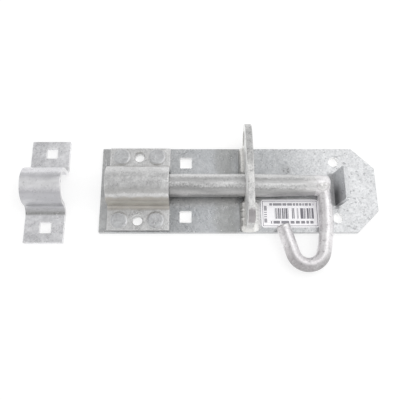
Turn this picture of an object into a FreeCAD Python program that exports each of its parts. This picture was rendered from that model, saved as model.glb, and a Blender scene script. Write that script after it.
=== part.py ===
"""Galvanised padbolt with a bow handle, seen lying on its back plate with its keep beside it.

Millimetres, +Z up. The origin is the middle of the back plate's rear face, the bolt runs along X,
and the nose of the bolt points along -X to the keep.
"""
import FreeCAD
import Part
import math
import os

# Back plate and the stop lug welded on it
PLATE_LENGTH = 192.0
PLATE_WIDTH = 62.0
SHEET = 3.0
CLIP = 15.2
PLATE_CORNER = 0.6
EDGE_ROUND = 0.4
SCREW_HOLE = 7.0
SQUARE_HOLE = 8.0
SQUARE_ROUND = 0.5
SQUARE_FROM_LEFT = 59.1
SQUARE_PITCH = 40.0
SCREW_FROM_RIGHT = 28.5
SCREW_PITCH = 41.6
LUG_WIDTH = 24.0
LUG_HEIGHT = 15.5
LUG_LEAN = 13.0
LUG_CORNER = 1.5
LUG_FROM_RIGHT = 29.5

# Bolt bar
BOLT = 16.0
BOLT_LIFT = 0.3
NOSE_FROM_LEFT = 7.0
NOSE_CHAMFER = 1.5
TAIL = 13.8
TAIL_TAPER = 34.5

# Guide bridge and its rivets
BRIDGE_FROM_LEFT = 5.8
BRIDGE_LENGTH = 42.4
BRIDGE_WIDTH = 60.0
BRIDGE_SLACK = 2.2
BRIDGE_BEND = 3.8
RIVETS_FROM_LEFT = 26.4
RIVET_PITCH_X = 24.8
RIVET_PITCH_Y = 46.6
RIVET_HEAD = 12.4
RIVET_HEAD_HEIGHT = 0.9
RIVET_SHANK = 6.0
RIVET_TAIL = 8.6
RIVET_PLAY = 0.05
FOOT_COUNTERSINK = 0.6

# Padlock plate, on edge across the back plate
PADLOCK_FROM_RIGHT = 92.6
PADLOCK_THICKNESS = 5.0
PADLOCK_HEIGHT = 28.3
PADLOCK_FRONT_ROUND = 8.0
PADLOCK_CREASE = 7.0
LOBE_RADIUS = 12.8
LOBE_OVERHANG = 12.6
LOBE_SINK = 1.6
PADLOCK_HOLE = 10.6
PADLOCK_HOLE_EDGE = 10.4
PADLOCK_HOLE_HEIGHT = 12.6
NOTCH_SLACK = 0.5
WELD_LEG_NOSE_SIDE = 3.4
WELD_RISE_NOSE_SIDE = 6.5
WELD_LEG_TAIL_FRONT = 6.2
WELD_LEG_TAIL_BACK = 1.8
WELD_LEG_LUG = 2.6
WELD_GAP = 0.8

# Bow handle
BOW_ROD = 9.6
SHANK_FROM_END = 5.0
SHANK_LEAN = 12.0
BOW_FROM_SHANK = 11.5
BOW_REACH = 54.3
BOW_RADIUS = 10.6
BOW_TIP_LEAN = 18.2
BOW_TIP_LENGTH = 20.6
BOW_TIP_ROUND = 1.2
ELBOW_LENGTH = 10.4
STOP_GAP = 5.1
ELBOW_ROUND = 2.4
KNUCKLE_SWELL = 0.5
REST_GAP = 0.3

# Keep
KEEP_GAP = 23.4
KEEP_LENGTH = 27.2
KEEP_WIDTH = 74.4
KEEP_SLACK = 2.0
KEEP_BEND = 6.0
KEEP_SET_BACK = 0.8
KEEP_SQUARE_PITCH = 55.0
KEEP_SQUARE_SHIFT = 0.8

# Paper label
LABEL_LENGTH = 39.5
LABEL_WIDTH = 20.0
LABEL_PAPER = 0.15
LABEL_ROUND = 2.0
LABEL_FROM_RIGHT = 41.5
LABEL_MARGIN = 3.5

left = -PLATE_LENGTH / 2
right = PLATE_LENGTH / 2
half_width = PLATE_WIDTH / 2
elbow_end = right - LUG_FROM_RIGHT - STOP_GAP
weld_plane = elbow_end - ELBOW_LENGTH
lug_x = right - LUG_FROM_RIGHT
lug_lean = math.radians(LUG_LEAN)
axis_z = SHEET + BOLT_LIFT + BOLT / 2
X_AXIS = FreeCAD.Vector(1, 0, 0)
Z_AXIS = FreeCAD.Vector(0, 0, 1)


def point(x, y, z):
    return FreeCAD.Vector(x, y, z)


def closed(points):
    return Part.Face(Part.makePolygon(points + points[:1]))


def drill(x, y, z, radius, depth):
    return Part.makeCylinder(radius, depth, point(x, y, z), Z_AXIS)


def cone(x, y, z, low_radius, high_radius, height):
    return Part.makeCone(low_radius, high_radius, height, point(x, y, z), Z_AXIS)


def box(x0, y0, z0, x1, y1, z1):
    return Part.makeBox(x1 - x0, y1 - y0, z1 - z0, point(x0, y0, z0))


def upright_edges(shape):
    """Edges that run straight along Z."""
    found = []
    for edge in shape.Edges:
        if isinstance(edge.Curve, Part.Line) and abs(edge.tangentAt(edge.FirstParameter).z) > 0.999:
            found.append(edge)
    return found


def square_hole(x, y, z, depth):
    half = SQUARE_HOLE / 2
    punch = box(x - half, y - half, z, x + half, y + half, z + depth)
    return punch.makeFillet(SQUARE_ROUND, upright_edges(punch))


def rim_edges(shape, height):
    """Edges of the outside outline that lie flat at one height."""
    found = []
    for edge in shape.Edges:
        bounds = edge.BoundBox
        if abs(bounds.ZMin - height) < 1e-6 and abs(bounds.ZMax - height) < 1e-6:
            found.append(edge)
    return found


def strap_profile(x, sole, inner, bend, reach):
    """Cross-section of a strap bent over the bolt, drawn at one X with its feet on the height sole."""
    outer = inner + SHEET
    under = bend + SHEET
    top = sole + SHEET
    turn = math.sqrt(0.5)
    feet_top = top + bend
    side_low = sole + under
    knee = inner + under
    edges = [
        Part.LineSegment(point(x, -reach, sole), point(x, -knee, sole)).toShape(),
        Part.Arc(point(x, -knee, sole),
                 point(x, -knee + under * turn, sole + under * (1 - turn)),
                 point(x, -inner, side_low)).toShape(),
        Part.LineSegment(point(x, -inner, side_low), point(x, -inner, axis_z)).toShape(),
        Part.Arc(point(x, -inner, axis_z), point(x, 0, axis_z + inner), point(x, inner, axis_z)).toShape(),
        Part.LineSegment(point(x, inner, axis_z), point(x, inner, side_low)).toShape(),
        Part.Arc(point(x, inner, side_low),
                 point(x, knee - under * turn, sole + under * (1 - turn)),
                 point(x, knee, sole)).toShape(),
        Part.LineSegment(point(x, knee, sole), point(x, reach, sole)).toShape(),
        Part.LineSegment(point(x, reach, sole), point(x, reach, top)).toShape(),
        Part.LineSegment(point(x, reach, top), point(x, outer + bend, top)).toShape(),
        Part.Arc(point(x, outer + bend, top),
                 point(x, outer + bend - bend * turn, top + bend * (1 - turn)),
                 point(x, outer, feet_top)).toShape(),
        Part.LineSegment(point(x, outer, feet_top), point(x, outer, axis_z)).toShape(),
        Part.Arc(point(x, outer, axis_z), point(x, 0, axis_z + outer), point(x, -outer, axis_z)).toShape(),
        Part.LineSegment(point(x, -outer, axis_z), point(x, -outer, feet_top)).toShape(),
        Part.Arc(point(x, -outer, feet_top),
                 point(x, -outer - bend + bend * turn, top + bend * (1 - turn)),
                 point(x, -outer - bend, top)).toShape(),
        Part.LineSegment(point(x, -outer - bend, top), point(x, -reach, top)).toShape(),
        Part.LineSegment(point(x, -reach, top), point(x, -reach, sole)).toShape(),
    ]
    return Part.Face(Part.Wire(edges))


def strap(x, length, sole, inner, bend, width):
    """The bent strap as a solid, with its long outside edges eased."""
    body = strap_profile(x, sole, inner, bend, width / 2).extrude(X_AXIS * length)
    eased = []
    for edge in body.Edges:
        flat = edge.BoundBox.XMax - edge.BoundBox.XMin < 1e-6
        if flat and edge.BoundBox.ZMin > sole + SHEET - 1e-6:
            eased.append(edge)
    return body.makeFillet(EDGE_ROUND, eased)


# Where the rivets and the screw holes in the bridge's feet go
rivets_x = left + RIVETS_FROM_LEFT
rivet_places = []
for side_x in (-1, 1):
    for side_y in (-1, 1):
        rivet_places.append((rivets_x + side_x * RIVET_PITCH_X / 2, side_y * RIVET_PITCH_Y / 2))
foot_hole_places = [(rivets_x, -RIVET_PITCH_Y / 2), (rivets_x, RIVET_PITCH_Y / 2)]
tail_depth = (RIVET_TAIL - RIVET_SHANK) / 2


def rivet_hole(x, y, z, depth):
    return drill(x, y, z, RIVET_SHANK / 2 + RIVET_PLAY, depth)


def back_plate():
    outline = [
        point(left, -half_width, 0),
        point(right - CLIP, -half_width, 0),
        point(right, -half_width + CLIP, 0),
        point(right, half_width - CLIP, 0),
        point(right - CLIP, half_width, 0),
        point(left, half_width, 0),
    ]
    plate = closed(outline).extrude(Z_AXIS * SHEET)
    plate = plate.makeFillet(PLATE_CORNER, upright_edges(plate))
    plate = plate.makeFillet(EDGE_ROUND, rim_edges(plate, SHEET))

    cuts = []
    for side in (-1, 1):
        cuts.append(square_hole(left + SQUARE_FROM_LEFT, side * SQUARE_PITCH / 2, -1, SHEET + 2))
        cuts.append(drill(right - SCREW_FROM_RIGHT, side * SCREW_PITCH / 2, -1, SCREW_HOLE / 2, SHEET + 2))
    for x, y in foot_hole_places:
        cuts.append(drill(x, y, -1, SCREW_HOLE / 2, SHEET + 2))
    for x, y in rivet_places:
        cuts.append(rivet_hole(x, y, -1, SHEET + 2))
        cuts.append(cone(x, y, 0, RIVET_TAIL / 2 + RIVET_PLAY, RIVET_SHANK / 2 + RIVET_PLAY, tail_depth))
    return plate.cut(cuts)


def stop_lug():
    """Square of the same sheet that stands on the back plate and leans away from the bolt."""
    foot = point(lug_x, -LUG_WIDTH / 2, SHEET)
    rise = point(math.tan(lug_lean), 0, 1) * LUG_HEIGHT
    across = point(math.cos(lug_lean), 0, -math.sin(lug_lean)) * SHEET
    heel = foot + point(SHEET / math.cos(lug_lean), 0, 0)
    lug = closed([foot, heel, foot + rise + across, foot + rise]).extrude(point(0, LUG_WIDTH, 0))
    corners = []
    for edge in lug.Edges:
        flat = edge.BoundBox.YMax - edge.BoundBox.YMin < 1e-6
        if flat and edge.BoundBox.ZMin > SHEET + LUG_HEIGHT / 2:
            corners.append(edge)
    return lug.makeFillet(LUG_CORNER, corners)


def guide_bridge():
    x = left + BRIDGE_FROM_LEFT
    body = strap(x, BRIDGE_LENGTH, SHEET, BOLT / 2 + BRIDGE_SLACK, BRIDGE_BEND, BRIDGE_WIDTH)
    top = 2 * SHEET
    cuts = []
    for hole_x, hole_y in foot_hole_places:
        cuts.append(drill(hole_x, hole_y, SHEET - 1, SCREW_HOLE / 2, SHEET + 2))
        cuts.append(cone(hole_x, hole_y, top - FOOT_COUNTERSINK, SCREW_HOLE / 2,
                         SCREW_HOLE / 2 + FOOT_COUNTERSINK, FOOT_COUNTERSINK))
    for rivet_x, rivet_y in rivet_places:
        cuts.append(rivet_hole(rivet_x, rivet_y, SHEET - 1, SHEET + 2))
    return body.cut(cuts)


def bridge_rivet(x, y):
    """Flat head on the foot, shank through both sheets and a tail hammered flush at the back."""
    top = 2 * SHEET
    head = RIVET_HEAD / 2
    rim = RIVET_HEAD_HEIGHT * 0.35
    flat = head * 0.76
    shank = RIVET_SHANK / 2
    shoulder = head * 0.9
    outline = [
        Part.LineSegment(point(0, 0, 0), point(RIVET_TAIL / 2, 0, 0)).toShape(),
        Part.LineSegment(point(RIVET_TAIL / 2, 0, 0), point(shank, 0, tail_depth)).toShape(),
        Part.LineSegment(point(shank, 0, tail_depth), point(shank, 0, top)).toShape(),
        Part.LineSegment(point(shank, 0, top), point(head, 0, top)).toShape(),
        Part.LineSegment(point(head, 0, top), point(head, 0, top + rim)).toShape(),
        Part.Arc(point(head, 0, top + rim),
                 point(shoulder, 0, top + RIVET_HEAD_HEIGHT * 0.8),
                 point(flat, 0, top + RIVET_HEAD_HEIGHT)).toShape(),
        Part.LineSegment(point(flat, 0, top + RIVET_HEAD_HEIGHT),
                         point(0, 0, top + RIVET_HEAD_HEIGHT)).toShape(),
        Part.LineSegment(point(0, 0, top + RIVET_HEAD_HEIGHT), point(0, 0, 0)).toShape(),
    ]
    rivet = Part.Face(Part.Wire(outline)).revolve(point(0, 0, 0), Z_AXIS, 360)
    rivet.translate(point(x, y, 0))
    return rivet


def bridge_rivets():
    return Part.makeCompound([bridge_rivet(x, y) for x, y in rivet_places])


# The padlock plate's two faces, its top and its lobe
padlock_x = right - PADLOCK_FROM_RIGHT
padlock_top = SHEET + PADLOCK_HEIGHT
lobe_y = half_width + LOBE_OVERHANG - LOBE_RADIUS
lobe_z = SHEET + LOBE_RADIUS - LOBE_SINK
lobe_sole = lobe_y + math.sqrt(LOBE_RADIUS ** 2 - (LOBE_RADIUS - LOBE_SINK) ** 2)
notch = BOLT / 2 + NOTCH_SLACK


def padlock_plate():
    x = padlock_x
    front = -half_width
    turn = math.sqrt(0.5)
    rounding = PADLOCK_FRONT_ROUND
    fall_y = lobe_y - PADLOCK_CREASE
    fall_z = padlock_top - lobe_z
    slope = math.asin(LOBE_RADIUS / math.hypot(fall_y, fall_z)) - math.atan2(fall_z, fall_y)
    touch_y = lobe_y - LOBE_RADIUS * math.sin(slope)
    touch_z = lobe_z + LOBE_RADIUS * math.cos(slope)
    wire = Part.Wire([
        Part.LineSegment(point(x, front, SHEET), point(x, front, padlock_top - rounding)).toShape(),
        Part.Arc(point(x, front, padlock_top - rounding),
                 point(x, front + rounding * (1 - turn), padlock_top - rounding * (1 - turn)),
                 point(x, front + rounding, padlock_top)).toShape(),
        Part.LineSegment(point(x, front + rounding, padlock_top),
                         point(x, PADLOCK_CREASE, padlock_top)).toShape(),
        Part.LineSegment(point(x, PADLOCK_CREASE, padlock_top), point(x, touch_y, touch_z)).toShape(),
        Part.Arc(point(x, touch_y, touch_z),
                 point(x, lobe_y + LOBE_RADIUS, lobe_z),
                 point(x, lobe_sole, SHEET)).toShape(),
        Part.LineSegment(point(x, lobe_sole, SHEET), point(x, front, SHEET)).toShape(),
    ])
    body = Part.Face(wire).extrude(X_AXIS * PADLOCK_THICKNESS)
    eased = []
    for edge in body.Edges:
        flat = edge.BoundBox.XMax - edge.BoundBox.XMin < 1e-6
        if flat and edge.BoundBox.ZMax > SHEET + 1e-6:
            eased.append(edge)
    body = body.makeFillet(EDGE_ROUND * 2, eased)
    through = PADLOCK_THICKNESS + 2
    hole = point(x - 1, half_width + LOBE_OVERHANG - PADLOCK_HOLE_EDGE, SHEET + PADLOCK_HOLE_HEIGHT)
    cuts = [
        Part.makeCylinder(notch, through, point(x - 1, 0, axis_z), X_AXIS),
        box(x - 1, -notch, SHEET - 1, x - 1 + through, notch, axis_z),
        Part.makeCylinder(PADLOCK_HOLE / 2, through, hole, X_AXIS),
    ]
    return body.cut(cuts).removeSplitter()


def weld_bead(corner_x, side, leg, rise, low_y, high_y, lean):
    """Slightly full fillet weld in the corner between the back plate and a plate that stands on it."""
    foot = point(corner_x, low_y, SHEET)
    along = point(side * leg, 0, 0)
    up = point(math.sin(lean), 0, math.cos(lean)) * rise
    toe = foot + along
    head = foot + up
    crown = foot + (along + up) * 0.56
    section = Part.Wire([
        Part.LineSegment(foot, toe).toShape(),
        Part.Arc(toe, crown, head).toShape(),
        Part.LineSegment(head, foot).toShape(),
    ])
    return Part.Face(section).extrude(point(0, high_y - low_y, 0))


def fillet_welds():
    """Two runs on each side of the padlock plate and one behind the stop lug."""
    nose_x = padlock_x
    tail_x = padlock_x + PADLOCK_THICKNESS
    front = (-half_width + WELD_GAP, -notch - WELD_GAP)
    back = (notch + WELD_GAP, lobe_y - WELD_GAP)
    beads = []
    for (low_y, high_y), tail_leg in ((front, WELD_LEG_TAIL_FRONT), (back, WELD_LEG_TAIL_BACK)):
        beads.append(weld_bead(nose_x, -1, WELD_LEG_NOSE_SIDE, WELD_RISE_NOSE_SIDE, low_y, high_y, 0))
        beads.append(weld_bead(tail_x, 1, tail_leg, tail_leg, low_y, high_y, 0))
    heel_x = lug_x + SHEET / math.cos(lug_lean)
    lug_end = LUG_WIDTH / 2 - WELD_GAP
    beads.append(weld_bead(heel_x, 1, WELD_LEG_LUG, WELD_LEG_LUG, -lug_end, lug_end, lug_lean))
    return Part.makeCompound(beads)


def bolt_bar():
    radius = BOLT / 2
    nose = left + NOSE_FROM_LEFT
    taper = weld_plane - TAIL_TAPER
    outline = [
        point(nose, 0, axis_z),
        point(nose, 0, axis_z + radius - NOSE_CHAMFER),
        point(nose + NOSE_CHAMFER, 0, axis_z + radius),
        point(taper, 0, axis_z + radius),
        point(weld_plane, 0, axis_z + TAIL / 2),
        point(weld_plane, 0, axis_z),
    ]
    return closed(outline).revolve(point(0, 0, axis_z), X_AXIS, 360)


def bow_droop():
    """Angle below level at which the shank lies over the front edge of the back plate."""
    rise = axis_z - SHEET - REST_GAP
    slant = math.hypot(rise, half_width)
    return math.atan2(rise, half_width) - math.asin(BOW_ROD / 2 / slant)


def elbow():
    """Barrel-shaped end that carries the bow on, turned about the bolt's axis."""
    radius = TAIL / 2
    end_radius = radius - KNUCKLE_SWELL
    turn = math.sqrt(0.5)

    def out(x, distance):
        return point(x, 0, axis_z + distance)

    shoulder = elbow_end - ELBOW_ROUND
    corner = out(elbow_end - ELBOW_ROUND * (1 - turn), end_radius - ELBOW_ROUND * (1 - turn))
    section = Part.Face(Part.Wire([
        Part.LineSegment(out(weld_plane, 0), out(weld_plane, radius)).toShape(),
        Part.Arc(out(weld_plane, radius),
                 out(weld_plane + ELBOW_LENGTH * 0.4, radius + KNUCKLE_SWELL / 2),
                 out(shoulder, end_radius)).toShape(),
        Part.Arc(out(shoulder, end_radius), corner, out(elbow_end, end_radius - ELBOW_ROUND)).toShape(),
        Part.LineSegment(out(elbow_end, end_radius - ELBOW_ROUND), out(elbow_end, 0)).toShape(),
        Part.LineSegment(out(elbow_end, 0), out(weld_plane, 0)).toShape(),
    ]))
    return section.revolve(out(0, 0), X_AXIS, 360)


def bow_handle():
    """Rod that leaves the elbow in a shallow arc, turns back in a round bend and ends in a straight tip."""
    rod = BOW_ROD / 2
    shank_x = elbow_end - SHANK_FROM_END
    bend_x = shank_x - BOW_FROM_SHANK
    bend_r = BOW_REACH - BOW_RADIUS
    shank_lean = math.radians(SHANK_LEAN)
    finish = math.pi - math.radians(BOW_TIP_LEAN)

    def on_bow(angle):
        return point(bend_x + BOW_RADIUS * math.cos(angle), -bend_r - BOW_RADIUS * math.sin(angle), axis_z)

    start = point(shank_x, 0, axis_z)
    first = on_bow(shank_lean)
    chord = first - start
    tilt = math.atan2(-chord.x, -chord.y)
    sagitta = chord.Length / 2 * math.tan((shank_lean - tilt) / 2)
    bulge = (start + first) * 0.5 + point(math.cos(tilt), -math.sin(tilt), 0) * sagitta
    setting_out = 2 * tilt - shank_lean
    leave = on_bow(finish)
    lean = math.radians(BOW_TIP_LEAN)
    tip = leave + point(-math.sin(lean), math.cos(lean), 0) * BOW_TIP_LENGTH
    path = Part.Wire([
        Part.Arc(start, bulge, first).toShape(),
        Part.Arc(first, on_bow((shank_lean + finish) / 2), leave).toShape(),
        Part.LineSegment(leave, tip).toShape(),
    ])
    ring = Part.Wire([Part.makeCircle(rod, start, point(-math.sin(setting_out), -math.cos(setting_out), 0))])
    bow = path.makePipeShell([ring], True, False, 2)
    tip_edges = []
    for edge in bow.Edges:
        if edge.BoundBox.Center.distanceToPoint(tip) < 0.05:
            tip_edges.append(edge)
    bow = bow.makeFillet(BOW_TIP_ROUND, tip_edges)

    handle = elbow().fuse(bow).removeSplitter()
    handle.rotate(point(0, 0, axis_z), X_AXIS, math.degrees(bow_droop()))
    return handle


def keep():
    x = left - KEEP_GAP - KEEP_LENGTH
    body = strap(x, KEEP_LENGTH, 0, BOLT / 2 + KEEP_SLACK, KEEP_BEND, KEEP_WIDTH)
    body.translate(point(0, -KEEP_SET_BACK, 0))
    square_x = x + KEEP_LENGTH / 2 + KEEP_SQUARE_SHIFT
    cuts = []
    for side in (-1, 1):
        cuts.append(square_hole(square_x, side * KEEP_SQUARE_PITCH / 2, -1, SHEET + 2))
    return body.cut(cuts)


def paper_label():
    x = right - LABEL_FROM_RIGHT - LABEL_LENGTH
    y = -half_width + LABEL_MARGIN
    sheet = box(x, y, SHEET, x + LABEL_LENGTH, y + LABEL_WIDTH, SHEET + LABEL_PAPER)
    return sheet.makeFillet(LABEL_ROUND, upright_edges(sheet))


os.makedirs("parts", exist_ok=True)
nodes = {
    "back_plate": back_plate(),
    "stop_lug": stop_lug(),
    "guide_bridge": guide_bridge(),
    "bridge_rivets": bridge_rivets(),
    "padlock_plate": padlock_plate(),
    "fillet_welds": fillet_welds(),
    "bolt_bar": bolt_bar(),
    "bow_handle": bow_handle(),
    "keep": keep(),
    "paper_label": paper_label(),
}
for name, shape in nodes.items():
    shape.exportStep("parts/" + name + ".step")
    print(name, len(shape.Solids), "solids, valid", shape.isValid(), round(shape.Volume, 1), "mm3")
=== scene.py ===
import bpy
import bmesh
import math
from mathutils import Matrix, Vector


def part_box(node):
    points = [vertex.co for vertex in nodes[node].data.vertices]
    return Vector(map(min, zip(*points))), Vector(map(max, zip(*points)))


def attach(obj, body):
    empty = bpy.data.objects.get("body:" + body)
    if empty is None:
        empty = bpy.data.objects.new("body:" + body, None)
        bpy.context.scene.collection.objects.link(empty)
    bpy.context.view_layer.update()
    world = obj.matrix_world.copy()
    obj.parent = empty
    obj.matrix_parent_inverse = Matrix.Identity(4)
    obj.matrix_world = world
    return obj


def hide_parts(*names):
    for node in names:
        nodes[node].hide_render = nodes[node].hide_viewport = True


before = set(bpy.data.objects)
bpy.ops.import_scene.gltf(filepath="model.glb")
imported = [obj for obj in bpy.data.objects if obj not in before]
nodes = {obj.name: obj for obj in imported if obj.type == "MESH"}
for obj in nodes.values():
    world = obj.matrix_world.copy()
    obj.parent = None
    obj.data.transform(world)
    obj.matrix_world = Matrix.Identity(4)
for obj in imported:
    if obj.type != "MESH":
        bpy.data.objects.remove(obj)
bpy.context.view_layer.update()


# Back plate: one blank of 3 mm steel sheet with clipped tail corners, punched and then hot-dip galvanised.
# The zinc lies smooth over the nose half, bright in one broad patch and dull in the next, and frosted with
# pits and dust towards the tail, where a painted highlight lightens it too. The walls of the holes are
# painted light against the shade inside them. The plate under the bolt is painted light against the bolt's
# shadow, and painted shade darkens it at the stop lug's foot.
class Reading:
    """A value in a node tree. Arithmetic on it adds Math nodes to that tree."""

    def __init__(self, layout, socket):
        self.layout = layout
        self.socket = socket

    def take(self, output):
        return Reading(self.layout, self.socket.node.outputs[output])

    def reckon(self, operation, *terms):
        return self.layout.node("ShaderNodeMath", {"operation": operation}, dict(enumerate(terms)))

    def __add__(self, other):
        return self.reckon("ADD", self, other)

    __radd__ = __add__

    def __sub__(self, other):
        return self.reckon("SUBTRACT", self, other)

    def __rsub__(self, other):
        return self.reckon("SUBTRACT", other, self)

    def __mul__(self, other):
        return self.reckon("MULTIPLY", self, other)

    __rmul__ = __mul__

    def __truediv__(self, other):
        return self.reckon("DIVIDE", self, other)

    def __lt__(self, other):
        return self.reckon("LESS_THAN", self, other)

    def __gt__(self, other):
        return self.reckon("GREATER_THAN", self, other)

    def __abs__(self):
        return self.reckon("ABSOLUTE", self)

    def __floor__(self):
        return self.reckon("FLOOR", self)

    def beside(self, other):
        """Length of the slope with these two sides."""
        squares = self * self + other * other
        return squares.reckon("SQRT", squares)


class Layout:
    """A node tree while it is laid out, for a finish, the sky or a run of geometry."""

    def __init__(self, tree):
        self.tree = tree
        self.tree.nodes.clear()

    def node(self, kind, settings, sockets):
        made = self.tree.nodes.new(kind)
        for name, value in settings.items():
            setattr(made, name, value)
        for name, value in sockets.items():
            if isinstance(value, Reading):
                self.tree.links.new(value.socket, made.inputs[name])
            else:
                made.inputs[name].default_value = value
        if made.outputs:
            return Reading(self, made.outputs[0])

    def fade(self, value, start, end, low=0.0, high=1.0):
        """Goes smoothly from low at start to high at end."""
        return self.node("ShaderNodeMapRange", {"interpolation_type": "SMOOTHSTEP"},
                         {0: value, 1: start, 2: end, 3: low, 4: high})

    def band(self, value, middle, reach, core):
        """1 within core of the middle, and 0 from reach on."""
        return self.fade(abs(value - middle), reach, core)


class Finish(Layout):
    """A material. place is the point on the piece, in metres."""

    def __init__(self, name):
        self.material = bpy.data.materials.new(name)
        self.material.use_nodes = True
        super().__init__(self.material.node_tree)
        self.place = self.node("ShaderNodeTexCoord", {}, {}).take("Object")

    def blend(self, share, low, high):
        """Colour between low and high."""
        return self.node("ShaderNodeMix", {"data_type": "RGBA"}, {0: share, 6: low, 7: high}).take(2)

    def along(self, axis):
        return self.node("ShaderNodeSeparateXYZ", {}, {0: self.place}).take(axis)

    def facing(self, axis):
        """How far the surface faces along an axis of the piece, from -1 to 1."""
        outward = self.node("ShaderNodeTexCoord", {}, {}).take("Normal")
        return self.node("ShaderNodeSeparateXYZ", {}, {0: outward}).take(axis)

    def moved(self, shift, stretch=(1.0, 1.0, 1.0)):
        return self.node("ShaderNodeMapping", {}, {
            "Vector": self.place, "Location": shift, "Scale": stretch})

    def cloud(self, lump_mm, detail, shift, stretch=(1.0, 1.0, 1.0)):
        """Soft noise from about -1 to 1 with lumps of that size, longer where stretch is under 1.
        A lump is half a wave of the noise."""
        noise = self.node("ShaderNodeTexNoise", {}, {
            "Vector": self.moved(shift, stretch), "Scale": 500.0 / lump_mm, "Detail": detail})
        return (noise.take("Fac") - 0.5) * 3.0

    def crystals(self, size_mm, shift):
        """A random number from 0 to 1 for each zinc crystal of that size."""
        cells = self.node("ShaderNodeTexVoronoi", {}, {
            "Vector": self.moved(shift), "Scale": 1000.0 / size_mm})
        return self.node("ShaderNodeSeparateColor", {}, {0: cells.take("Color")})

    def made(self, colour, roughness, metallic, height, depth_mm, glow=0.0):
        """Ends the material and returns it. depth_mm is what a height of 1 stands out."""
        bump = self.node("ShaderNodeBump", {}, {
            "Height": height, "Distance": depth_mm / 1000.0, "Strength": 0.8})
        shader = self.node("ShaderNodeBsdfPrincipled", {}, {
            "Base Color": colour, "Roughness": roughness, "Metallic": metallic, "Normal": bump,
            "Emission Color": colour, "Emission Strength": glow})
        self.node("ShaderNodeOutputMaterial", {}, {"Surface": shader})
        return self.material

    def put_on(self, node):
        """Puts the material on a CAD piece."""
        mesh = nodes[node].data
        mesh.materials.clear()
        mesh.materials.append(self.material)


class Zinc(Finish):
    """Hot-dip zinc on one piece, between a pale and a deep colour, with clouds, crystals and pits.
    patch and mottled are the shares of its broad and its small clouds."""

    metallic = 0.78

    def __init__(self, name, pale, deep, shift, cloud_mm=22.0, patch=0.3, mottled=0.48,
                 stretch=(1.0, 1.0, 1.0), rough=0.34):
        super().__init__(name)
        broad = self.cloud(cloud_mm, 3.0, shift, stretch)
        mottle = self.cloud(2.6, 3.0, shift, stretch)
        self.grain = self.cloud(0.6, 2.0, shift)
        self.crystal = self.crystals(3.0, shift)
        self.pits = self.fade(self.cloud(1.0, 1.0, [part + 0.37 for part in shift]), 0.3, 0.75)
        tone = 0.5 + broad * patch + mottle * mottled + self.grain * 0.45 + (self.crystal - 0.5) * 0.2
        tone = self.node("ShaderNodeClamp", {}, {0: tone})
        self.colour = self.blend(tone, deep, pale)
        rounded = self.node("ShaderNodeBevel", {"samples": 4}, {"Radius": 0.0011})
        facing = self.node("ShaderNodeNewGeometry", {}, {}).take("Normal")
        match = self.node("ShaderNodeVectorMath", {"operation": "DOT_PRODUCT"}, {0: rounded, 1: facing})
        edge = self.fade(match.take("Value"), 0.99, 0.86)
        self.colour = self.blend(edge * (0.55 + self.grain * 0.4), self.colour, (0.93, 0.93, 0.92, 1.0))
        self.rough = rough + (self.crystal - 0.5) * 0.12 + mottle * 0.06 + self.grain * 0.04
        self.height = mottle * 0.45 + self.grain * 0.4 + self.crystal * 0.06

    def pitted(self, share):
        """Small dark pits with dust in them. share is how much of their darkness shows."""
        self.colour = self.blend(self.pits * share, self.colour, (0.17, 0.17, 0.18, 1.0))
        self.height = self.height - self.pits * share * 0.6

    def stain(self, mask, colour, rough=0.0):
        """Another colour where mask is 1, and that much more roughness."""
        self.colour = self.blend(mask, self.colour, colour)
        self.rough = self.rough + mask * rough

    def coat(self, depth_mm):
        """Ends the material with all its stains and pits, and returns it."""
        return self.made(self.colour, self.rough, self.metallic, self.height, depth_mm)

    def dress(self, node):
        """Ends the material and puts it on a CAD piece."""
        self.coat(0.15)
        self.put_on(node)


plate_zinc = Zinc("zinc_on_back_plate", (0.52, 0.53, 0.54, 1.0), (0.28, 0.29, 0.30, 1.0), (0.0, 0.0, 0.0),
                  patch=0.45, mottled=0.32)
plate_low, plate_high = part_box("back_plate")
corner_clip = 0.0152
lug_low, lug_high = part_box("stop_lug")
x, y = plate_zinc.along("X"), plate_zinc.along("Y")

frost_start, frost_full = 0.01, 0.07
# Frosted zinc with pits and dust towards the tail. Its pale share is also a painted highlight where the
# lamp's sheen falls.
frost_and_sheen = plate_zinc.fade(x, frost_start, frost_full)
plate_zinc.stain(frost_and_sheen * (0.62 + plate_zinc.grain * 0.45), (0.77, 0.775, 0.785, 1.0), 0.1)
nose_strip = plate_zinc.fade(x, plate_low.x + 0.010, plate_low.x + 0.005)
plate_zinc.stain(nose_strip * 0.35, (0.66, 0.66, 0.65, 1.0))
ragged_x = x + plate_zinc.cloud(14.0, 3.0, (0.5, 0.2, 0.0)) * 0.005
bright_patch = plate_zinc.band(ragged_x, -0.0225, 0.017, 0.005)
plate_zinc.stain(bright_patch * 0.24, (0.66, 0.68, 0.71, 1.0))
dull_patch = plate_zinc.band(ragged_x, -0.0080, 0.011, 0.004)
plate_zinc.stain(dull_patch * 0.42, (0.29, 0.29, 0.275, 1.0))
plate_zinc.pitted(0.12 + frost_and_sheen * 0.34)

smudge_x, smudge_y, smudge_lean = 0.0352, 0.0145, 0.1
smudge = plate_zinc.band(x + y * smudge_lean, smudge_x, 0.0042, 0.001)
smudge = smudge * plate_zinc.band(y, smudge_y, 0.0045, 0.001)
plate_zinc.stain(smudge * (0.4 + plate_zinc.grain * 1.3), (0.16, 0.16, 0.16, 1.0))
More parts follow.
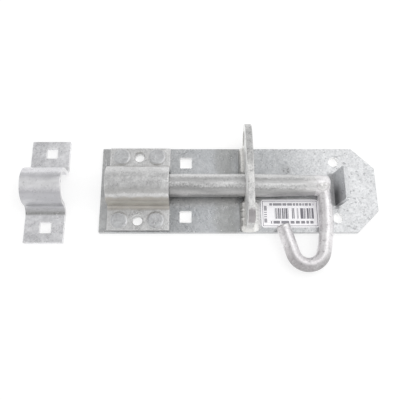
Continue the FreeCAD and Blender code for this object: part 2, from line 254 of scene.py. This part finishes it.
# Painted shade: the plate darkened at the stop lug's foot, where the bolt's elbow shades it.
painted_shade_at_lug = plate_zinc.fade(x, lug_low.x - 0.005, lug_low.x - 0.002)
painted_shade_at_lug = painted_shade_at_lug * plate_zinc.fade(x, lug_low.x + 0.001, lug_low.x - 0.0005)
painted_shade_at_lug = painted_shade_at_lug * plate_zinc.fade(abs(y), lug_high.y + 0.0005, lug_high.y - 0.0005)
plate_zinc.stain(painted_shade_at_lug * 0.45, (0.06, 0.06, 0.065, 1.0), 0.2)
# Painted light: the plate lightened under the tail half of the bolt, against the bolt's shadow.
painted_light_beside_bolt = plate_zinc.band(x, 0.03, 0.024, 0.018) * plate_zinc.band(y, -0.0085, 0.003, 0.0015)
plate_zinc.stain(painted_light_beside_bolt * 0.6, (0.92, 0.92, 0.92, 1.0))
# Painted light: the plate lightened under the nose half of the bolt, against the bolt's shadow.
nose_half = plate_zinc.fade(x, 0.001, -0.003)
ragged_y = y + plate_zinc.cloud(6.0, 3.0, (0.1, 0.7, 0.0)) * 0.0009
painted_light_under_bar = plate_zinc.fade(ragged_y, -0.0145, -0.0090) * plate_zinc.fade(ragged_y, -0.0050, -0.0075)
plate_zinc.stain(nose_half * painted_light_under_bar * (0.6 + plate_zinc.grain * 0.3), (0.66, 0.66, 0.65, 1.0))

# Painted light: the walls lightened against their shade, fully in the holes and a little on the outer edges.
painted_light_on_walls = plate_zinc.fade(abs(plate_zinc.facing("Z")), 0.7, 0.3)
from_side = plate_high.y - abs(y)
from_end = plate_high.x - abs(x)
from_clip = plate_high.x + plate_high.y - corner_clip - (x + abs(y))
inside = plate_zinc.fade(from_side, 0.0008, 0.0018) * plate_zinc.fade(from_end, 0.001, 0.002)
inside = inside * plate_zinc.fade(from_clip, 0.001, 0.002)
plate_zinc.stain(painted_light_on_walls * (0.2 + inside * 0.8), (0.94, 0.94, 0.94, 1.0), 0.25)
plate_zinc.dress("back_plate")


# Stop lug: a square of the same sheet, stood leaning on the plate behind the bolt's tail and welded there.
# Painted shade darkens its face towards its foot, and its cut top is grey.
lug_zinc = Zinc("zinc_on_stop_lug", (0.94, 0.95, 0.96, 1.0), (0.68, 0.70, 0.72, 1.0), (0.12, 0.4, 0.3))
# Painted shade: the lug's face darkened towards its foot, in the shade by the bolt's elbow.
painted_shade_low_down = lug_zinc.fade(lug_zinc.along("Z"), lug_high.z - 0.003, lug_low.z + 0.003)
painted_shade_low_down = painted_shade_low_down * lug_zinc.fade(lug_zinc.along("Y"), 0.007, -0.004)
lug_zinc.stain(painted_shade_low_down * 0.76, (0.13, 0.13, 0.135, 1.0), 0.15)
cut_top = lug_zinc.fade(lug_zinc.facing("Z"), 0.6, 0.9)
lug_zinc.stain(cut_top * (0.75 + lug_zinc.grain * 0.3), (0.58, 0.59, 0.60, 1.0), 0.1)
lug_zinc.pitted(0.2)
lug_zinc.dress("stop_lug")


# Guide bridge: a strap of the same sheet, bent over the bolt in a press and riveted down by its feet.
# Painted shade darkens its front slope, broken by a ragged painted highlight, and its bends, which are also
# brownish where the zinc drained. Painted light lifts its uprights, and it is pale on the cut ends.
bridge_zinc = Zinc("zinc_on_guide_bridge", (0.78, 0.78, 0.78, 1.0), (0.50, 0.50, 0.50, 1.0),
                   (0.31, 0.0, 0.0), cloud_mm=16.0)
bridge_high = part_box("guide_bridge")[1]
rivet_low, rivet_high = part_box("bridge_rivets")
rivet_radius = 0.0062
x, y = bridge_zinc.along("X"), bridge_zinc.along("Y")
side = abs(y)
ragged = side + bridge_zinc.cloud(5.0, 4.0, (0.2, 0.6, 0.0)) * 0.0008 + bridge_zinc.grain * 0.0004

# Painted shade on the front slope, broken along a ragged painted highlight where it catches the front.
slope = bridge_zinc.fade(y, -0.001, -0.003) * bridge_zinc.fade(ragged, 0.0042, 0.008)
slope = slope * bridge_zinc.fade(ragged, 0.0126, 0.0113)
painted_highlight_ridge = bridge_zinc.band(ragged, 0.0101, 0.0014, 0.0003)
bridge_zinc.stain(slope * (0.52 - painted_highlight_ridge * 0.36), (0.31, 0.305, 0.295, 1.0), 0.05)
# Brownish zinc drained into the bends, with painted shade darkening the hollow.
shaded_bend = bridge_zinc.fade(ragged, 0.0104, 0.0120) * bridge_zinc.fade(ragged, 0.0172, 0.0148)
bridge_zinc.stain(shaded_bend * (0.72 + bridge_zinc.grain * 0.2), (0.36, 0.33, 0.285, 1.0), 0.08)
# Painted light: the upright walls of the bridge lightened against their shade.
painted_light_upright = bridge_zinc.fade(abs(bridge_zinc.facing("Y")), 0.94, 0.995)
painted_light_upright = painted_light_upright * bridge_zinc.fade(side, 0.0142, 0.0132)
bridge_zinc.stain(painted_light_upright * 0.7, (0.74, 0.72, 0.66, 1.0))
from_middle = abs(x - (rivet_low.x + rivet_high.x) / 2)
from_rivet_x = from_middle - (rivet_high.x - rivet_low.x) / 2 + rivet_radius
from_rivet = from_rivet_x.beside(side - rivet_high.y + rivet_radius)
rivet_ring = bridge_zinc.fade(from_rivet, rivet_radius + 0.001, rivet_radius + 0.0001)
bridge_zinc.stain(rivet_ring * 0.1, (0.22, 0.22, 0.22, 1.0), 0.1)
cut_end = bridge_zinc.fade(abs(bridge_zinc.facing("X")), 0.6, 0.9)
bridge_zinc.stain(cut_end * 0.6, (0.9, 0.9, 0.9, 1.0))
hole_wall = bridge_zinc.fade(abs(bridge_zinc.facing("Z")), 0.8, 0.4) * bridge_zinc.fade(side, 0.0175, 0.0185)
hole_wall = hole_wall * bridge_zinc.fade(side, bridge_high.y - 0.0004, bridge_high.y - 0.001, 0.2, 1.0)
bridge_zinc.stain(hole_wall, (0.62, 0.62, 0.62, 1.0), 0.25)
bridge_zinc.pitted(0.2)
bridge_zinc.dress("guide_bridge")


# Bridge rivets: four mild-steel rivets with flat heads, set cold through the bridge's feet and the plate.
# They were galvanised with the rest, and the rims of their heads carry a painted highlight.
rivet_zinc = Zinc("zinc_on_rivets", (0.66, 0.67, 0.68, 1.0), (0.44, 0.44, 0.45, 1.0), (0.7, 0.1, 0.0),
                  cloud_mm=7.0)
# Painted highlight on the rims of the heads.
painted_highlight_rim = rivet_zinc.fade(rivet_zinc.facing("Z"), 0.95, 0.75)
rivet_zinc.stain(painted_highlight_rim * 0.6, (0.66, 0.66, 0.65, 1.0), 0.25)
rivet_zinc.pitted(0.15)
rivet_zinc.dress("bridge_rivets")


# Padlock plate: 5 mm plate cut to shape, notched for the bolt and stood on edge across the back plate.
# Painted shade darkens its rounded front corner, its nose face is painted light as a reflection, and zinc
# ran thick down its foot. The lobe that overhangs the back plate takes the padlock.
padlock_zinc = Zinc("zinc_on_padlock_plate", (0.71, 0.71, 0.70, 1.0), (0.41, 0.41, 0.41, 1.0),
                    (0.0, 0.52, 0.0), cloud_mm=12.0)
padlock_low, padlock_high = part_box("padlock_plate")
# Painted shade: a dark oval on the rounded front corner, which faces the front, away from the light.
shade_from_front, shade_half_width, shade_half_length = 0.0036, 0.0032, 0.0046
aside = (padlock_zinc.along("X") - (padlock_low.x + padlock_high.x) / 2) / shade_half_width
back = (padlock_zinc.along("Y") - padlock_low.y - shade_from_front) / shade_half_length
painted_shade_front = padlock_zinc.fade(aside * aside + back * back + padlock_zinc.grain * 0.25, 1.15, 0.7)
painted_shade_front = painted_shade_front * padlock_zinc.fade(padlock_high.z - padlock_zinc.along("Z"), 0.0068, 0.0056)
padlock_zinc.stain(painted_shade_front * 0.85, (0.36, 0.34, 0.35, 1.0), 0.12)
# Painted reflection: the nose face made pale, standing in for the bright surroundings it reflects.
painted_light_nose_face = padlock_zinc.fade(padlock_zinc.facing("X"), -0.5, -0.9)
padlock_zinc.stain(painted_light_nose_face * 0.95, (0.98, 0.98, 0.97, 1.0), 0.15)
foot = padlock_zinc.fade(padlock_zinc.along("Z"), padlock_low.z + 0.015, padlock_low.z + 0.004)
padlock_zinc.stain(foot * 0.7, (0.88, 0.87, 0.84, 1.0))
padlock_zinc.pitted(0.36)
padlock_zinc.dress("padlock_plate")


# Fillet welds: arc-weld runs along the foot of the padlock plate and behind the stop lug, under the zinc.
# Each run is a row of overlapping ripples, one for each swing of the electrode.
weld_zinc = Zinc("zinc_on_welds", (0.90, 0.89, 0.86, 1.0), (0.66, 0.65, 0.63, 1.0), (0.0, 0.2, 0.4),
                 cloud_mm=5.0)
tail_side = weld_zinc.fade(weld_zinc.along("X"), padlock_high.x, padlock_high.x + 0.002)
weld_zinc.stain(tail_side * 0.8, (0.98, 0.98, 0.97, 1.0), 0.2)
nose_side = weld_zinc.fade(weld_zinc.along("X"), padlock_low.x + 0.002, padlock_low.x)
weld_zinc.stain(nose_side * 0.4, (0.56, 0.56, 0.55, 1.0))
weld_zinc.pitted(0.2)
weld_finish = weld_zinc.coat(0.2)


class Growth(Layout):
    """A Geometry Nodes tree that grows something over a mesh, from named inputs. One of them is Seed."""

    def __init__(self, name, inputs):
        group = bpy.data.node_groups.new(name, "GeometryNodeTree")
        super().__init__(group)
        group.interface.new_socket(name="Geometry", in_out="INPUT", socket_type="NodeSocketGeometry")
        group.interface.new_socket(name="Geometry", in_out="OUTPUT", socket_type="NodeSocketGeometry")
        self.identifiers = {}
        for label, kind in inputs.items():
            made = group.interface.new_socket(name=label, in_out="INPUT", socket_type=kind)
            self.identifiers[label] = made.identifier
        self.given = self.node("NodeGroupInput", {}, {})

    def carried(self, name):
        """A length that the mesh carries at each of its points."""
        length = self.node("GeometryNodeInputNamedAttribute", {"data_type": "FLOAT"}, {"Name": name})
        return length.take("Attribute")

    def swell(self, least):
        """A random share from least to 1 for each instance."""
        share = self.node("FunctionNodeRandomValue", {"data_type": "FLOAT"}, {
            2: least, 3: 1.0, "Seed": self.given.take("Seed")})
        return share.take(1)

    def close(self, instances, material):
        """Ends the tree: instances made real, shaded smooth and given their material."""
        real = self.node("GeometryNodeRealizeInstances", {}, {0: instances})
        smooth = self.node("GeometryNodeSetShadeSmooth", {}, {0: real})
        dressed = self.node("GeometryNodeSetMaterial", {}, {0: smooth, "Material": material})
        self.node("NodeGroupOutput", {}, {0: dressed})

    def grow(self, name, mesh, body, slot, values):
        """Runs the tree on a mesh and returns the result as a plain piece that rides on a body."""
        seed_piece = bpy.data.objects.new(name + "_start", mesh)
        bpy.context.scene.collection.objects.link(seed_piece)
        modifier = seed_piece.modifiers.new("growth", "NODES")
        modifier.node_group = self.tree
        for label, value in values.items():
            modifier[self.identifiers[label]] = value
        graph = bpy.context.evaluated_depsgraph_get()
        grown = bpy.data.meshes.new_from_object(seed_piece.evaluated_get(graph))
        seed_piece.modifiers.clear()
        bpy.data.objects.remove(seed_piece)
        piece = bpy.data.objects.new(name, grown)
        bpy.context.scene.collection.objects.link(piece)
        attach(piece, body)
        return piece


ripples = Growth("weld_ripples", {
    "Pitch": "NodeSocketFloat", "Swing": "NodeSocketFloat", "Seed": "NodeSocketInt"})
path = ripples.node("GeometryNodeMeshToCurve", {}, {0: ripples.given.take("Geometry")})
swings = ripples.node("GeometryNodeCurveToPoints", {"mode": "LENGTH"}, {
    0: path, "Length": ripples.given.take("Pitch")})
swell = ripples.swell(0.95)
size = ripples.node("ShaderNodeCombineXYZ", {}, {
    "X": ripples.carried("leg") * swell, "Y": ripples.given.take("Swing"),
    "Z": ripples.carried("rise") * swell})
ball = ripples.node("GeometryNodeMeshUVSphere", {}, {"Segments": 16, "Rings": 8, "Radius": 1.0})
spot = ripples.node("ShaderNodeSeparateXYZ", {}, {0: ripples.node("GeometryNodeInputPosition", {}, {})})
above_foot = spot.take("Z").reckon("MAXIMUM", spot.take("Z"), -0.2)
flat_foot = ripples.node("ShaderNodeCombineXYZ", {}, {
    "X": spot.take("X"), "Y": spot.take("Y"), "Z": above_foot})
ripple = ripples.node("GeometryNodeSetPosition", {}, {0: ball, "Position": flat_foot})
row = ripples.node("GeometryNodeInstanceOnPoints", {}, {0: swings, "Instance": ripple, "Scale": size})
ripples.close(row, weld_finish)

weld_inner, weld_outer = 0.012, 0.0276
nose_leg, nose_rise = 0.0034, 0.0065
front_leg, rear_leg = 0.0062, 0.0018
lug_leg, lug_weld_half = 0.0019, 0.0088
lug_foot = lug_low.x + 0.0031
weld_runs = [
    (padlock_low.x, -weld_outer, -weld_inner, nose_leg, nose_rise),
    (padlock_high.x, -weld_outer, -weld_inner, front_leg, front_leg),
    (padlock_low.x, weld_inner, weld_outer, nose_leg, nose_rise),
    (padlock_high.x, weld_inner, weld_outer, rear_leg, rear_leg),
    (lug_foot, -lug_weld_half, lug_weld_half, lug_leg, lug_leg),
]
ends, legs, rises = [], [], []
for weld_x, low_y, high_y, leg, rise in weld_runs:
    ends += [(weld_x, low_y, plate_high.z), (weld_x, high_y, plate_high.z)]
    legs += [leg, leg]
    rises += [rise, rise]
run_lines = bpy.data.meshes.new("weld_runs")
run_lines.from_pydata(ends, [(end, end + 1) for end in range(0, len(ends), 2)], [])
run_lines.attributes.new("leg", "FLOAT", "POINT").data.foreach_set("value", legs)
run_lines.attributes.new("rise", "FLOAT", "POINT").data.foreach_set("value", rises)
welds = ripples.grow("weld_beads", run_lines, "plate", "fillet_welds", {
    "Pitch": 0.0012, "Swing": 0.0034, "Seed": 7})
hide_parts("fillet_welds")


# Bolt bar: 16 mm round bar, rolled and drawn down a little at its tail, which slides in the bridge.
# The zinc lies along it in ragged streaks. Painted highlights on the crest and the far rim and painted shade
# between and below stand in for the bar's reflections.
bar_zinc = Zinc("zinc_on_bolt_bar", (0.72, 0.72, 0.72, 1.0), (0.40, 0.40, 0.40, 1.0), (0.0, 0.0, 0.8),
                cloud_mm=14.0, stretch=(0.3, 1.0, 1.0), rough=0.36)
bar_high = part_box("bolt_bar")[1]
x, y = bar_zinc.along("X"), bar_zinc.along("Y")
# Painted shade on the underside of the bar.
under = bar_zinc.fade(y, -0.002, -0.0075) * bar_zinc.fade(bar_zinc.along("Z"), 0.019, 0.0155)
bar_zinc.stain(under * 0.4, (0.26, 0.25, 0.24, 1.0), 0.06)
streaks = bar_zinc.fade(bar_zinc.cloud(2.4, 3.0, (0.3, 0.7, 0.1), (0.12, 1.0, 1.0)), 0.0, 0.7)
bar_zinc.stain(streaks * 0.4, (0.24, 0.24, 0.24, 1.0), 0.06)
tail_half = bar_zinc.fade(x, 0.004, 0.014)
ragged = y + bar_zinc.cloud(5.0, 4.0, (0.1, 0.4, 0.2), (0.6, 1.0, 1.0)) * 0.0009
ragged = ragged + bar_zinc.grain * 0.0005 + tail_half * 0.001
# Ragged bands of painted shade and painted highlight along the bar, standing in for its reflections.
painted_shade_lane = bar_zinc.band(ragged, 0.0012, 0.0027, 0.0010)
bar_zinc.stain(painted_shade_lane * (0.25 + tail_half * 0.23 + bar_zinc.grain * 0.2), (0.26, 0.26, 0.26, 1.0))
painted_highlight_far_rim = bar_zinc.fade(ragged, 0.0032, 0.005)
bar_zinc.stain(painted_highlight_far_rim * 0.35, (0.92, 0.92, 0.92, 1.0))
painted_highlight_crest = bar_zinc.band(ragged, -0.0020, 0.0023, 0.0006)
bar_zinc.stain(painted_highlight_crest * (0.3 + tail_half * 0.1 + bar_zinc.grain * 0.4), (0.9, 0.9, 0.9, 1.0))
painted_shade_flank = bar_zinc.band(ragged, -0.0050, 0.0020, 0.0006)
bar_zinc.stain(painted_shade_flank * 0.5, (0.26, 0.26, 0.26, 1.0))
tail_end = bar_zinc.fade(x, bar_high.x - 0.015, bar_high.x)
bar_zinc.stain(tail_end * 0.5, (0.76, 0.75, 0.75, 1.0))
bar_zinc.pitted(0.28)
bar_zinc.dress("bolt_bar")


# Bow handle: round rod bent into an open bow, with a barrel-shaped end that is welded to the bolt bar.
# The zinc is thick and bright and mauve where it ran down the shank, and a drop of it froze on the elbow.
# Painted shade darkens the outside of the bend, and a painted dark reflection runs along the rod's outer
# sides.
bow_zinc = Zinc("zinc_on_bow_handle", (0.98, 0.97, 0.98, 1.0), (0.68, 0.66, 0.67, 1.0), (0.2, 0.9, 0.0),
                cloud_mm=11.0, rough=0.40)
bend_x, bend_y = 0.0449, -0.0435
x, y = bow_zinc.along("X"), bow_zinc.along("Y")
run_down = bow_zinc.fade(bow_zinc.cloud(9.0, 2.0, (0.5, 0.1, 0.2), (1.0, 0.35, 1.0)), 0.1, 0.7)
bow_zinc.stain(run_down * 0.4, (0.50, 0.46, 0.48, 1.0), 0.05)
from_bend = (x - bend_x).beside(y - bend_y)
# Painted shade round the outside of the bend.
painted_shade_outer_bend = bow_zinc.fade(from_bend, 0.0095, 0.0145) * bow_zinc.fade(y, -0.040, -0.054)
bow_zinc.stain(painted_shade_outer_bend * (0.66 + bow_zinc.grain * 0.25), (0.2, 0.195, 0.195, 1.0), 0.05)
# Painted dark reflection along the rod's outer sides, between the rim and the crest.
painted_dark_reflection_side = bow_zinc.fade(bow_zinc.facing("X") + bow_zinc.facing("Y"), -0.15, -0.65)
painted_dark_reflection_side = painted_dark_reflection_side * bow_zinc.fade(bow_zinc.facing("Z"), 0.1, 0.4)
bow_zinc.stain(painted_dark_reflection_side * (0.16 + bow_zinc.grain * 0.6), (0.40, 0.365, 0.38, 1.0), 0.05)
joint = bow_zinc.fade(x, bar_high.x + 0.0065, bar_high.x)
joint = joint * bow_zinc.fade(abs(y), bar_high.y + 0.0005, bar_high.y - 0.0015)
bow_zinc.stain(joint * 0.2, (0.62, 0.62, 0.62, 1.0))
bow_zinc.pitted(0.32)
bow_zinc.dress("bow_handle")

drop_zinc = Zinc("zinc_drop", (0.84, 0.83, 0.82, 1.0), (0.66, 0.65, 0.65, 1.0), (0.4, 0.3, 0.1),
                 cloud_mm=3.0, rough=0.36)
drop_place = Matrix.Translation((0.0556, -0.0030, 0.0175))
drop_tilt = Matrix.Rotation(math.radians(28.0), 4, "X")
drop_radii = Matrix.Diagonal((0.0036, 0.0030, 0.0011, 1.0))
drop_mesh = bpy.data.meshes.new("frozen_drop")
shape = bmesh.new()
bmesh.ops.create_uvsphere(shape, u_segments=40, v_segments=20, radius=1.0)
for vertex in shape.verts:
    around = math.atan2(vertex.co.y, vertex.co.x)
    vertex.co *= 1.0 + 0.12 * math.sin(2.0 * around + 0.6) + 0.07 * math.sin(3.0 * around)
shape.transform(drop_place @ drop_tilt @ drop_radii)
shape.to_mesh(drop_mesh)
shape.free()
for face in drop_mesh.polygons:
    face.use_smooth = True
drop_mesh.materials.append(drop_zinc.coat(0.1))
frozen_drop = bpy.data.objects.new("frozen_drop", drop_mesh)
bpy.context.scene.collection.objects.link(frozen_drop)
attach(frozen_drop, "handle")


# Keep: a second bent strap with two square holes, which takes the nose of the bolt on the gate post.
# It was dipped apart from the bolt, and its zinc is paler and a little violet. Painted shade darkens its
# bends, front slope and crown, and ragged bands of painted shade and painted highlight run along its crown.
keep_zinc = Zinc("zinc_on_keep", (0.93, 0.93, 0.95, 1.0), (0.66, 0.66, 0.68, 1.0), (0.6, 0.6, 0.0),
                 cloud_mm=9.0, patch=0.5)
keep_low, keep_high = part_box("keep")
y = keep_zinc.along("Y")
from_crown = y - (keep_low.y + keep_high.y) / 2
side = abs(from_crown)
# Painted shade in the bends, strongest at the front.
shaded_bend = keep_zinc.fade(side, 0.0130, 0.0145) * keep_zinc.fade(side, 0.0188, 0.0168)
shaded_bend = shaded_bend * keep_zinc.fade(y, 0.006, -0.006, 0.5, 1.0)
keep_zinc.stain(shaded_bend * (0.8 + keep_zinc.grain * 0.2), (0.28, 0.28, 0.275, 1.0), 0.05)
# Painted shade on the front slope and the crown.
painted_shade_front_slope = keep_zinc.fade(y, -0.004, -0.0095) * keep_zinc.fade(side, 0.0165, 0.0145)
keep_zinc.stain(painted_shade_front_slope * 0.55, (0.44, 0.44, 0.46, 1.0), 0.05)
painted_shade_crown = keep_zinc.fade(side, 0.0115, 0.009)
keep_zinc.stain(painted_shade_crown * 0.3, (0.55, 0.54, 0.57, 1.0))
# Ragged bands of painted shade and painted highlight along the crown, standing in for its reflections.
ragged = from_crown + keep_zinc.cloud(6.0, 4.0, (0.3, 0.2, 0.6)) * 0.0013 + keep_zinc.grain * 0.0005
painted_shade_rear_band = keep_zinc.band(ragged, 0.0038, 0.0028, 0.0008)
keep_zinc.stain(painted_shade_rear_band * 0.5, (0.42, 0.42, 0.44, 1.0))
painted_highlight_band = keep_zinc.band(ragged, -0.0028, 0.0042, 0.0014)
keep_zinc.stain(painted_highlight_band * 0.55, (0.97, 0.97, 0.98, 1.0))
painted_shade_front_band = keep_zinc.band(ragged, -0.0096, 0.0028, 0.0012)
keep_zinc.stain(painted_shade_front_band * 0.62, (0.40, 0.40, 0.42, 1.0))
cut_end = keep_zinc.fade(abs(keep_zinc.facing("X")), 0.6, 0.9)
keep_zinc.stain(cut_end * 0.5, (0.92, 0.92, 0.92, 1.0))
keep_zinc.pitted(0.22)
keep_zinc.dress("keep")


# Paper label: white paper stuck on the plate, printed in dark grey with a plain frame, bars and strips.
# It has a little emission, a painted glow that lifts it against the shade of the bolt. The print is laid
# out in millimetres.
paper = Finish("printed_paper")
label_low, label_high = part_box("paper_label")
width, depth = (label_high.x - label_low.x) * 1000.0, (label_high.y - label_low.y) * 1000.0
across = (paper.along("X") - label_low.x) * 1000.0
up = (paper.along("Y") - label_low.y) * 1000.0
fibre = paper.cloud(0.6, 2.0, (0.0, 0.0, 0.0))
paper_white = paper.blend(0.5 + fibre * 0.3, (0.94, 0.93, 0.96, 1.0), (0.98, 0.97, 0.99, 1.0))
ink_grey = (0.05, 0.045, 0.07, 1.0)


def within(value, start, end):
    return (value > start) * (value < end)


def framed(margin):
    """1 on the label, except in a margin of that width."""
    return within(across, margin, width - margin) * within(up, margin, depth - margin)


def dashes(value, pitch, share, seed):
    """Steps of that pitch along the label, each printed or not by chance."""
    column = math.floor(value / pitch)
    chance = paper.node("ShaderNodeTexWhiteNoise", {"noise_dimensions": "1D"}, {"W": column + seed})
    return chance.take("Value") < share


frame_margin, frame_width = 0.9, 0.4
frame_line = framed(frame_margin) - framed(frame_margin + frame_width)
bar_field = dashes(across, 0.34, 0.5, 17.0) * within(across, 9.3, 36.0) * within(up, 6.2, 13.8)
top_strip = dashes(across, 0.55, 0.7, 11.0) * within(across, 5.8, 36.5) * within(up, 15.6, 17.4)
low_strip = dashes(across, 0.9, 0.7, 29.0) * within(across, 6.4, 35.5) * within(up, 2.7, 4.7)
side_strip = dashes(up, 0.8, 0.7, 5.0) * within(across, 1.9, 3.9) * within(up, 3.4, 15.6)
ink = frame_line * 0.8 + bar_field * 0.85 + top_strip * 0.7 + low_strip * 0.75 + side_strip * 0.65
ink = paper.node("ShaderNodeClamp", {}, {0: ink})
# The emission is a painted glow, lifting the paper against the bolt's shade.
paper.made(paper.blend(ink, paper_white, ink_grey), 0.5 + fibre * 0.08, 0.0, fibre, 0.015, glow=0.23)
paper.put_on("paper_label")


# Dross pimples: specks of iron-zinc crystal, under a millimetre wide, that the dip leaves standing.
# They are scattered over the flat faces of the plate, the bridge and the keep, clear of the bolt.
pimple_zinc = Zinc("zinc_on_pimples", (0.66, 0.66, 0.66, 1.0), (0.38, 0.38, 0.38, 1.0), (0.9, 0.2, 0.7),
                   cloud_mm=9.0)
pimple_finish = pimple_zinc.coat(0.04)
pimple_radius, pimple_flatness, bolt_clearance = 0.00042, 0.4, 0.0125
pimples = Growth("dross_pimples", {
    "Per Square Metre": "NodeSocketFloat", "Radius": "NodeSocketFloat", "Seed": "NodeSocketInt"})
normal = pimples.node("ShaderNodeSeparateXYZ", {}, {0: pimples.node("GeometryNodeInputNormal", {}, {})})
spot = pimples.node("ShaderNodeSeparateXYZ", {}, {0: pimples.node("GeometryNodeInputPosition", {}, {})})
open_face = (normal.take("Z") > 0.7) * (abs(spot.take("Y")) > bolt_clearance)
scatter = pimples.node("GeometryNodeDistributePointsOnFaces", {}, {
    0: pimples.given.take("Geometry"), "Selection": open_face,
    "Density": pimples.given.take("Per Square Metre"), "Seed": pimples.given.take("Seed")})
girth = pimples.swell(0.4) * pimples.given.take("Radius")
size = pimples.node("ShaderNodeCombineXYZ", {}, {"X": girth, "Y": girth, "Z": girth * pimple_flatness})
speck = pimples.node("GeometryNodeMeshIcoSphere", {}, {"Radius": 1.0, "Subdivisions": 2})
specks = pimples.node("GeometryNodeInstanceOnPoints", {}, {
    0: scatter, "Instance": speck, "Rotation": scatter.take("Rotation"), "Scale": size})
pimples.close(specks, pimple_finish)
for node, density, seed in (("back_plate", 24000.0, 3), ("keep", 20000.0, 5), ("guide_bridge", 12000.0, 9)):
    pimples.grow("pimples_on_" + node, nodes[node].data.copy(), "plate", node, {
        "Per Square Metre": density, "Radius": pimple_radius, "Seed": seed})


# Room: a pale floor under the back plate, a broad soft lamp high above the tail end, and a sky that is
# brightest low down and in front, as in a light tent.
bpy.ops.mesh.primitive_plane_add(size=6.0, location=(0.0, 0.0, 0.0))
floor = bpy.context.object
floor.name = "floor"
ground = Finish("pale_floor")
seen = ground.node("ShaderNodeLightPath", {}, {})
white = ground.node("ShaderNodeBsdfDiffuse", {}, {"Color": (0.93, 0.93, 0.93, 1.0)})
half_white = ground.node("ShaderNodeBsdfDiffuse", {}, {"Color": (0.45, 0.45, 0.45, 1.0)})
glow = ground.node("ShaderNodeEmission", {}, {"Color": (1.0, 1.0, 1.0, 1.0), "Strength": 0.64})
backdrop = ground.node("ShaderNodeAddShader", {}, {0: half_white, 1: glow})
look = seen.take("Is Camera Ray") + seen.take("Is Glossy Ray") + seen.take("Is Transmission Ray")
look = ground.node("ShaderNodeClamp", {}, {0: look})
ground.node("ShaderNodeOutputMaterial", {}, {
    "Surface": ground.node("ShaderNodeMixShader", {}, {0: look, 1: white, 2: backdrop})})
floor.data.materials.append(ground.material)

world = bpy.data.worlds.new("studio_sky")
bpy.context.scene.world = world
world.use_nodes = True
sky = Layout(world.node_tree)
toward = sky.node("ShaderNodeSeparateXYZ", {}, {0: sky.node("ShaderNodeTexCoord", {}, {}).take("Generated")})
from_low = sky.fade(toward.take("Z"), 0.2, 0.9, 1.3, 0.7)
from_front = sky.fade(toward.take("Y"), -0.9, 0.5, 0.95, 0.8)
light = sky.node("ShaderNodeBackground", {}, {
    "Color": (1.0, 1.0, 1.0, 1.0), "Strength": from_low * from_front})
sky.node("ShaderNodeOutputWorld", {}, {"Surface": light})

lamp_light = bpy.data.lights.new("broad_lamp", "AREA")
lamp_light.shape = "RECTANGLE"
lamp_light.size, lamp_light.size_y = 1.2, 1.0
lamp_light.energy = 4.0
lamp = bpy.data.objects.new("broad_lamp", lamp_light)
lamp.location = (0.5, 0.3, 1.2)
lamp.rotation_euler = (-lamp.location).to_track_quat("-Z", "Y").to_euler()
bpy.context.scene.collection.objects.link(lamp)

camera = bpy.data.objects.new("camera", bpy.data.cameras.new("camera"))
camera.data.sensor_width = 36.0
camera.data.lens = 49.5
camera.rotation_mode = "ZYX"
camera.rotation_euler = (0.33606, -0.00418, 0.0)
camera.location = (-0.0286, -0.1332, 0.3623)
camera.data.clip_start = 0.01
bpy.context.scene.collection.objects.link(camera)
bpy.context.scene.camera = camera
bpy.context.scene.view_settings.view_transform = "Standard"
